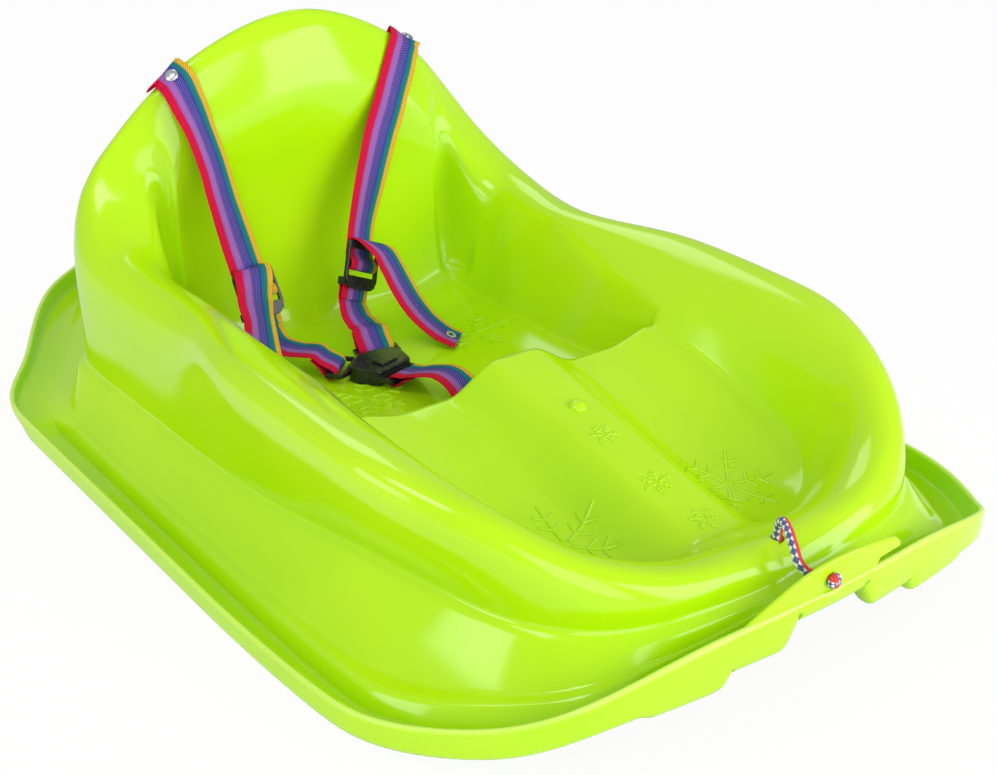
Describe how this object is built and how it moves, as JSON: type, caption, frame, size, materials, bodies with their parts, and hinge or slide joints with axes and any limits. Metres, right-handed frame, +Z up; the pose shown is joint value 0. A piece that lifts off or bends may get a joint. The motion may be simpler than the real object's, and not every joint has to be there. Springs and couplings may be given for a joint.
{
  "type": "plastic sled",
  "caption": "Moulded plastic toddler sled with a high backrest, leg wells, woven shoulder harness with release buckle, and a pull cord.",
  "frame": {"origin": "on the ground under the middle of the sled's outline", "axes": "+Z up, -Y towards the nose, +Y towards the backrest, +X to the seated child's left"},
  "size_m": [0.435, 0.7553, 0.2563],
  "materials": {
    "lime_plastic": "glossy moulded polyethylene",
    "black_plastic": "satin black acetal",
    "rivet_steel": "bright plated steel",
    "rainbow_webbing": "woven polyester webbing in red, lilac, violet, teal and yellow stripes",
    "braided_cord": "braided cord, red with a white and blue check"
  },
  "bodies": {
    "sled": {"sled_shell": "lime_plastic", "shoulder_strap_left": "rainbow_webbing", "shoulder_strap_right": "rainbow_webbing", "lower_strap_left": "rainbow_webbing", "lower_strap_right": "rainbow_webbing", "crotch_strap": "rainbow_webbing", "adjuster_left": "black_plastic", "adjuster_right": "black_plastic", "buckle_body": "black_plastic", "shoulder_left_rivet": "rivet_steel", "shoulder_left_washer": "rivet_steel", "shoulder_right_rivet": "rivet_steel", "shoulder_right_washer": "rivet_steel", "crotch_rivet": "rivet_steel", "crotch_washer": "rivet_steel", "tail_eyelet_left": "rivet_steel", "tail_eyelet_right": "rivet_steel", "pull_cord": "braided_cord", "cord_hank": "braided_cord", "cord_knot_front": "braided_cord", "cord_knot_end": "braided_cord", "hank_tie": "black_plastic"},
    "button": {"release_button": "black_plastic"},
    "tongue_left": {"buckle_tongue_left": "black_plastic"},
    "tongue_right": {"buckle_tongue_right": "black_plastic"}
  },
  "joints": [
    {"name": "button_press", "type": "slide", "parent": "sled", "child": "button", "axis": [0, 0, -1], "range_m": [0, 0.0015], "stiffness_N_per_m": 1500, "springref_m": -0.001},
    {"name": "tongue_left_release", "type": "slide", "parent": "sled", "child": "tongue_left", "axis": [-0.6652, 0.7466, 0], "range_m": [0, 0.018], "deforming": ["lower_strap_left"]},
    {"name": "tongue_right_release", "type": "slide", "parent": "sled", "child": "tongue_right", "axis": [0.247, 0.969, 0], "range_m": [0, 0.018], "deforming": ["lower_strap_right"]}
  ]
}
